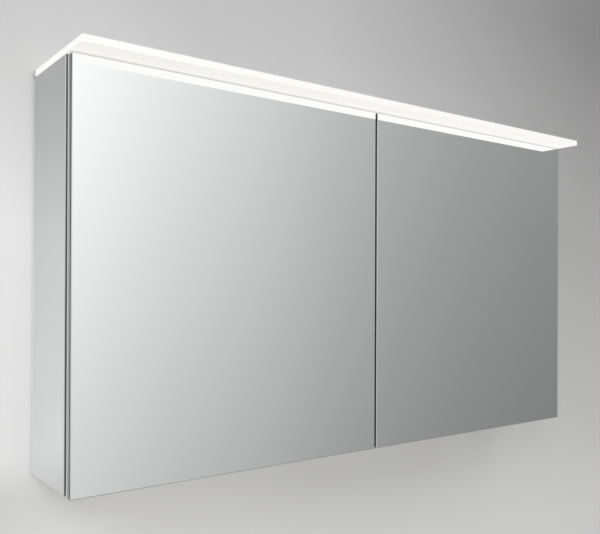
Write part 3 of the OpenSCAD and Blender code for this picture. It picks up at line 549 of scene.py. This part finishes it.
def wall_painted_light():
    """Matt plaster whose colour holds painted light and shade, the fall-off of the light and the cabinet's
    shadow; it is only there when seen from the room.
    """
    m, t = blank("wall_painted_light")
    place = t.world_place()
    x, _, z = t.split(place)
    across = t.spread(x, 0.0, 1.0, *WALL_SPAN)
    tone = None
    # tone is painted light and shade: the fall-off across the wall and the cabinet's painted shadow below it
    for height, stops in WALL_PAINTED_LIGHT:
        row = t.ramp(across, [((a - WALL_SPAN[0]) / (WALL_SPAN[1] - WALL_SPAN[0]), v) for a, v in stops])
        tone = row if tone is None else t.mix(t.spread(z, 0.0, 1.0, below, height), tone, row)
        below = height
    patch = t.spread(t.noise(place, 5.0, 3.0), 0.0, 0.03)
    diffuse = t.add("BsdfDiffuse")
    t.put(diffuse, "Color", t.mix(patch, tone, 0.6))
    t.put(diffuse, "Normal", t.bump(t.noise(place, 260, 4.0), 0.05, 0.4 * MM))
    behind = t.add("NewGeometry").outputs["Backfacing"]
    t.surface(t.mix_shaders(behind, diffuse, t.add("BsdfTransparent")))
    return m


def wall():
    """The wall as one sheet with an opening behind the cabinet, so that its back stays lit."""
    lo, hi = cad_box
    xs = (STAGE_X[0], lo[0] + HOLE_INSET, hi[0] - HOLE_INSET, STAGE_X[1])
    zs = (FLOOR_Z, lo[2] + HOLE_INSET, hi[2] - HOLE_INSET, WALL_TOP_Z)
    points = [(x, WALL_Y, z) for z in zs for x in xs]
    cells = [(i, j) for j in range(3) for i in range(3) if (i, j) != (1, 1)]
    faces = [(4 * j + i, 4 * j + i + 1, 4 * j + i + 5, 4 * j + i + 4) for i, j in cells]
    sheet = stage_mesh("studio_wall", points, faces, wall_painted_light())
    sheet.visible_diffuse = False
    sheet.visible_shadow = False


def card(name, corners, paint):
    """A studio card that only shows in reflections."""
    obj = stage_mesh(name, corners, [(0, 1, 2, 3)], paint)
    obj.visible_camera = False
    obj.visible_diffuse = False
    obj.visible_shadow = False
    obj.visible_transmission = False


def reflection_shade_net():
    """Thin black net, denser at the top; painted shade on the wall as the side mirror reflects it."""
    m, t = blank("reflection_shade_flag")
    black = t.add("BsdfDiffuse")
    black.inputs["Color"].default_value = rgba(0.0)
    density = t.spread(t.split(t.world_place())[2], *FLAG_SHADE_DENSITY, -0.6, 0.05)
    t.surface(t.mix_shaders(density, t.add("BsdfTransparent"), black))
    return m


def reflection_glow_sheet():
    """Painted reflection: a glowing sheet under the canopy that only the door mirrors see, standing in for
    the light that leaves the guide at a low angle.
    """
    m, t = blank("reflection_glow_sheet")
    glow = t.add("Emission")
    t.put(glow, "Color", t.mix(t.noise(t.world_place(), 5.0), (1.0, 0.99, 0.965), (1.0, 1.0, 0.985)))
    glow.inputs["Strength"].default_value = REFLECTION_GLOW_STRENGTH
    t.surface(glow)
    return m


wall()
# The net is painted shade: it darkens the wall seen in the side mirror towards the top
card("side_reflection_shade", [(FLAG_X[i], FLAG_Y, FLAG_Z[j]) for i, j in ((0, 0), (1, 0), (1, 1), (0, 1))], reflection_shade_net())
# A glowing sheet under the canopy that only reflections see: a painted reflection in the door mirrors
reflection_card_x = (guide_lo.x + MM, guide_hi.x - MM)
reflection_card_y = (guide_lo.y + MM, door_lo.y - 0.5 * MM)
card("canopy_painted_reflection", [(reflection_card_x[i], reflection_card_y[j], guide_lo.z - REFLECTION_CARD_DROP)
                       for i, j in ((0, 0), (1, 0), (1, 1), (0, 1))], reflection_glow_sheet())
stage_mesh("studio_floor", [(STAGE_X[i], STAGE_Y[j], FLOOR_Z) for i, j in ((0, 0), (1, 0), (1, 1), (0, 1))],
           [(0, 1, 2, 3)], finish("floor_paint", (0.72, 0.71, 0.69), 0.02, 3, (0.5, 0.65), 300, 0.05))

# ---------------------------------------------------------------- light

# Brightness of the room by bearing in degrees: 0 is straight out from the wall, 90 is to the right
ROOM = [(-180, 0.62), (-120, 0.66), (-75, 0.74), (-30, 0.97), (0, 1.02), (12, 0.95), (19.8, 0.858),
        (27, 0.70), (35, 0.554), (40, 0.455), (45, 0.376), (50, 0.318), (55.8, 0.27), (62, 0.27), (80, 0.36),
        (120, 0.55), (180, 0.62)]
WARM = (1.0, 0.93, 0.72)
KEY_PLACE = Vector((-2.6, -2.2, 1.6))
KEY_AIM = Vector((-0.5, 0, -0.2))
KEY_SIZE = (1.8, 1.8)
KEY_ENERGY = 42
LEAK_SIZE = (guide_hi.x - guide_lo.x, 4 * MM)
LEAK_PLACE = (0, -14 * MM, guide_hi.z + 4 * MM)
LEAK_DIRECTION = Vector((0, 0.75, 0.66))
LEAK_ENERGY = 0.03


def room_light():
    """A room that is brightest straight ahead, darker to the right, and lighter towards its ceiling."""
    world = bpy.data.worlds.new("studio")
    scene.world = world
    world.use_nodes = True
    t = Tree(world.node_tree)
    x, y, z = t.split(t.coord("Generated"))
    bearing = t.math("DEGREES", t.math("ARCTAN2", x, t.math("MULTIPLY", y, -1.0)))
    room = t.ramp(t.spread(bearing, 0.0, 1.0, -180, 180), [((a + 180) / 360, v) for a, v in ROOM])
    background = t.add("Background")
    t.put(background, "Color", room)
    t.put(background, "Strength", t.math("MAXIMUM", t.math("MULTIPLY_ADD", z, 0.8, 1.0), 0.35))
    t.surface(background, "OutputWorld")


def area_light(name, place, direction, size, energy, colour=(1.0, 1.0, 1.0)):
    """A soft rectangular light that neither the camera nor a reflection sees."""
    data = bpy.data.lights.new(name, "AREA")
    data.shape = "RECTANGLE"
    data.size, data.size_y = size
    data.energy = energy
    data.color = colour
    obj = bpy.data.objects.new(name, data)
    scene.collection.objects.link(obj)
    obj.location = place
    obj.rotation_euler = direction.to_track_quat("-Z", "Y").to_euler()
    obj.visible_glossy = False
    obj.visible_camera = False


room_light()
area_light("key", KEY_PLACE, KEY_AIM - KEY_PLACE, KEY_SIZE, KEY_ENERGY)
# Warm light that leaks out along the rear of the canopy and washes the wall above it
area_light("canopy_leak", LEAK_PLACE, LEAK_DIRECTION, LEAK_SIZE, LEAK_ENERGY, WARM)

# ---------------------------------------------------------------- shapes


def piece(name, bm, paint):
    """Turn a built shape into an object; every detail piece rides the fixed body."""
    bmesh.ops.recalc_face_normals(bm, faces=bm.faces)
    mesh = bpy.data.meshes.new(name)
    bm.to_mesh(mesh)
    bm.free()
    mesh.materials.append(paint)
    obj = bpy.data.objects.new(name, mesh)
    scene.collection.objects.link(obj)
    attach(obj, "root")


def block(bm, lo, hi, round_off=0.0):
    """A box between two corners given in any order, with rounded edges."""
    size = [abs(b - a) for a, b in zip(lo, hi)]
    centre = [(a + b) / 2 for a, b in zip(lo, hi)]
    matrix = Matrix.Translation(centre) @ Matrix.Diagonal((*size, 1.0))
    made = bmesh.ops.create_cube(bm, size=1.0, matrix=matrix)
    if round_off:
        edges = list({e for v in made["verts"] for e in v.link_edges})
        bmesh.ops.bevel(bm, geom=edges, offset=round_off, segments=2, profile=0.5, affect="EDGES")


def loft(bm, rings):
    """A closed skin through rings of points."""
    rings = [[bm.verts.new(point) for point in ring] for ring in rings]
    steps = len(rings[0])
    for a, b in zip(rings, rings[1:]):
        for k in range(steps):
            bm.faces.new((a[k], a[(k + 1) % steps], b[(k + 1) % steps], b[k]))
    bm.faces.new(rings[0])
    bm.faces.new(rings[-1])


def lathe(bm, profile, centre, axis, steps=32):
    """A closed turned shape. profile is (along, radius) pairs; axis is 'x', 'y' or 'z'."""
    first = "xyz".index(axis)
    rings = []
    for along, radius in profile:
        ring = []
        for k in range(steps):
            angle = 2 * math.pi * k / steps
            point = Vector(centre)
            point[first] += along
            point[(first + 1) % 3] += radius * math.cos(angle)
            point[(first + 2) % 3] += radius * math.sin(angle)
            ring.append(point)
        rings.append(ring)
    loft(bm, rings)


def cross_head(bm, centre, out, radius, height):
    """Domed screw head with a cross on it; out is the axis with its sign."""
    sign = -1.0 if out[0] == "-" else 1.0
    index = "xyz".index(out[-1])
    dome = [(0.0, 1.0), (0.35, 1.0), (0.72, 0.90), (0.93, 0.72), (1.0, 0.5)]
    lathe(bm, [(sign * a * height, r * radius) for a, r in dome], centre, out[-1], 28)
    others = [i for i in range(3) if i != index]
    for along, across in (others, others[::-1]):
        reach = Vector((0, 0, 0))
        reach[along] = radius * 0.62
        reach[across] = radius * 0.11
        lo = Vector(centre) - reach
        hi = Vector(centre) + reach
        lo[index] += sign * height * 0.99
        hi[index] += sign * height * 1.03
        block(bm, lo, hi)


# ---------------------------------------------------------------- detail pieces

SIDES = (-1, 1)
PLATE_T = 2 * MM
PLATE_HALF_W = 30 * MM
WALL_HOLE_Z = 15 * MM
WASHER_T = 0.9 * MM
CHANNEL_WALL = 1.3 * MM
PLUG_LEN = 4.5 * MM
CHIP_LEN = 3 * MM
RESISTOR_HALF = 0.7 * MM
NAIL_INSET = 9 * MM
DRIVER_EAR = 10 * MM
COVER_PAD_X = 16 * MM
COVER_PAD_T = 0.5 * MM
SUNK = 0.2 * MM
BORDER_W = 1.2 * MM
RECESS_DEPTH = 14 * MM
ARM_TOP = 31 * MM
DOOR_GAP = 3 * MM
ADJUSTER_SETBACK = 28 * MM
HINGE_END = 100 * MM


def wall_screws():
    """Screws that hold the two plates to the wall, each on its washer."""
    bm = bmesh.new()
    for side in SIDES:
        x = side * (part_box("wall_plates")[1].x - PLATE_HALF_W)
        for z in (-WALL_HOLE_Z, WALL_HOLE_Z):
            lathe(bm, [mm(0, 6.6), mm(-0.7, 6.6), (-WASHER_T, 6.3 * MM)], (x, -PLATE_T, z), "y")
            cross_head(bm, (x, -PLATE_T - WASHER_T, z), "-y", 4.6 * MM, 2.4 * MM)
    piece("wall_screws", bm, SCREW_ZINC)


def channel_plugs():
    """Plugs in the open ends of the light channel, each with three ribs inside."""
    bm = bmesh.new()
    lo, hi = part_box("light_channel")
    lo_y, hi_y = lo.y + SUNK, hi.y - CHANNEL_WALL
    lo_z, hi_z = lo.z + CHANNEL_WALL, hi.z - CHANNEL_WALL
    for side in SIDES:
        inner = side * (hi.x - PLUG_LEN)
        block(bm, (side * hi.x, lo_y, lo_z), (inner, hi_y, hi_z), 0.5 * MM)
        for k in range(3):
            z = lo_z + (k + 1) * (hi_z - lo_z) / 4
            block(bm, (inner, lo_y + 2 * MM, z - 0.5 * MM),
                  (inner - side * 3 * MM, hi_y - 1 * MM, z + 0.5 * MM), 0.2 * MM)
    piece("channel_plugs", bm, PLUG_PLASTIC)


def strip_resistors():
    """Resistors between the chips, one to every three, with tinned ends."""
    bodies = bmesh.new()
    caps = bmesh.new()
    chip_lo, chip_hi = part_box("led_chips")
    count = round((chip_hi.x - chip_lo.x - CHIP_LEN) / CHIP_PITCH) + 1
    y = strip_lo.y
    for k in range(1, count - 1, 3):
        x = (k - (count - 1) / 2) * CHIP_PITCH + CHIP_PITCH / 2
        block(bodies, (x - RESISTOR_HALF, y - 0.5 * MM, strip_z - 0.6 * MM),
              (x + RESISTOR_HALF, y, strip_z + 0.6 * MM), 0.08 * MM)
        for side in SIDES:
            inner = x + side * RESISTOR_HALF
            block(caps, (inner, y - 0.55 * MM, strip_z - 0.65 * MM),
                  (inner + side * 0.4 * MM, y, strip_z + 0.65 * MM), 0.1 * MM)
    piece("strip_resistors", bodies, CERAMIC)
    piece("resistor_caps", caps, STEEL_PIN)


def back_nails():
    """Nails all round the back panel."""
    bm = bmesh.new()
    spots = [(side * (back_hi.x - NAIL_INSET), back_lo.z + NAIL_INSET + k * 95 * MM) for side in SIDES
             for k in range(7)]
    for k in range(-5, 6):
        spots += [(k * 105 * MM, back_lo.z + NAIL_INSET), (k * 105 * MM, back_hi.z - NAIL_INSET)]
    for x, z in spots:
        lathe(bm, [mm(0, 2.6), mm(0.35, 2.5), mm(0.6, 1.6)], (x, back_hi.y, z), "y", 20)
    piece("back_nails", bm, STEEL_PIN)


def driver_and_lid():
    """Cooling ribs and screw pads of the driver, its cover screws, and those of the terminal box."""
    ribs = bmesh.new()
    lo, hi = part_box("led_driver")
    left, right = lo.x + DRIVER_EAR, hi.x - DRIVER_EAR
    z0, z1 = lo.z + 5 * MM, hi.z - 5 * MM
    pads = (left + COVER_PAD_X, right - COVER_PAD_X)
    rows = [(left + 34 * MM + k * 11.5 * MM, 1.4 * MM, 0.8 * MM, 0.35 * MM) for k in range(9)]
    rows += [(x, 9 * MM, COVER_PAD_T, 0.2 * MM) for x in pads]
    for x, half, height, round_off in rows:
        block(ribs, (x - half, hi.y - SUNK, z0), (x + half, hi.y + height, z1), round_off)
    piece("driver_ribs", ribs, DRIVER_CASE)
    screws = bmesh.new()
    for x in pads:
        cross_head(screws, (x, hi.y + COVER_PAD_T, (lo.z + hi.z) / 2), "+y", 2.6 * MM, 1.0 * MM)
    box_lo, box_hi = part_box("terminal_box")
    lid_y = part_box("terminal_lid")[1].y
    for x in (box_lo.x + 6 * MM, box_hi.x - 6 * MM):
        cross_head(screws, (x, lid_y - 1.5 * MM, (box_lo.z + box_hi.z) / 2), "+y", 2.2 * MM, 1.2 * MM)
    piece("cover_screws", screws, SCREW_ZINC)


def lid_border():
    """Raised border on the lid of the terminal box."""
    bm = bmesh.new()
    lo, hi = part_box("terminal_lid")
    x0, x1 = lo.x + 14 * MM, hi.x - 14 * MM
    z0, z1 = lo.z + 5 * MM, hi.z - 5 * MM
    for left, bottom, right, top in ((x0, z0, x1, z0 + BORDER_W), (x0, z1 - BORDER_W, x1, z1),
                                     (x0, z0, x0 + BORDER_W, z1), (x1 - BORDER_W, z0, x1, z1)):
        block(bm, (left, hi.y - SUNK, bottom), (right, hi.y + 0.6 * MM, top), 0.3 * MM)
    piece("lid_border", bm, LID_PLASTIC)


def gland_parts():
    """Blanked seal in the supply gland, and the grip ribs round its nut."""
    lo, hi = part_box("mains_gland")
    x, y = (lo.x + hi.x) / 2, (lo.y + hi.y) / 2
    seal = bmesh.new()
    lathe(seal, [mm(0, 3.4), mm(0.4, 3.45), mm(2.2, 3.45), mm(2.4, 1.2)], (x, y, lo.z + 1 * MM), "z")
    piece("gland_seal", seal, RUBBER)
    ribs = bmesh.new()
    count = 20
    size = Matrix.Diagonal((*mm(0.9, 0.7, 7.0), 1.0))
    for k in range(count):
        turn = Matrix.Rotation(2 * math.pi * k / count, 4, "Z")
        centre = Matrix.Translation((x, y, lo.z + 4.6 * MM))
        bmesh.ops.create_cube(ribs, size=1.0, matrix=centre @ turn @ Matrix.Translation(mm(5.1, 0, 0)) @ size)
    piece("gland_ribs", ribs, DARK_PLASTIC)


def earth_clips():
    """Bent spring clips at the top and bottom of the socket recess."""
    bm = bmesh.new()
    lo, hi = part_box("socket_contacts")
    x, z = (lo.x + hi.x) / 2, (lo.z + hi.z) / 2
    floor_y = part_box("socket_front")[0].y + RECESS_DEPTH
    bend = [(0.0, 18.0), (-3.0, 17.8), (-7.0, 16.2), (-9.5, 15.6), (-11.5, 16.6), (-12.5, 17.6)]
    section = ((-2.5, 0), (2.5, 0), (2.5, 0.6), (-2.5, 0.6))
    for side in SIDES:
        loft(bm, [[(x + dx * MM, floor_y + along * MM, z + side * (height + dz) * MM) for dx, dz in section]
                  for along, height in bend])
    piece("earth_clips", bm, BRASS)


def hinge_adjusters():
    """Adjusting screws on the hinge arms."""
    bm = bmesh.new()
    top_x = frame_lo.x + ARM_TOP
    y = frame_hi.y + DOOR_GAP + ADJUSTER_SETBACK
    for x, out in ((top_x, "+x"), (-top_x, "-x")):
        for z in (door_lo.z + HINGE_END, (door_lo.z + door_hi.z) / 2, door_hi.z - HINGE_END):
            cross_head(bm, (x, y, z), out, 2.8 * MM, 1.1 * MM)
    piece("hinge_adjusters", bm, STEEL_PIN)


wall_screws()
channel_plugs()
strip_resistors()
back_nails()
driver_and_lid()
lid_border()
gland_parts()
earth_clips()
hinge_adjusters()

# ---------------------------------------------------------------- softened edges

# Width of the edge in mm, and the nodes that have it
EDGES = {
    0.6: "left_lower_shelf left_upper_shelf right_lower_shelf right_upper_shelf terminal_lid",
    0.3: "left_side_panel right_side_panel top_panel bottom_panel centre_partition wall_plates hanger_hooks",
    0.25: "hinge_arms hinge_plates left_hinge_links right_hinge_links",
    0.5: "hanger_housings socket_housing socket_front rocker_switch led_driver terminal_box lead_clips",
    0.4: "light_guide canopy_reflector light_channel",
}
WELD_REACH = 0.001 * MM
for width, names in EDGES.items():
    for name in names.split():
        weld = nodes[name].modifiers.new("weld", "WELD")
        weld.merge_threshold = WELD_REACH
        bevel = nodes[name].modifiers.new("edges", "BEVEL")
        bevel.width = width * MM
        bevel.segments = 2
        bevel.limit_method = "ANGLE"
        bevel.angle_limit = math.radians(50)
        bevel.use_clamp_overlap = True
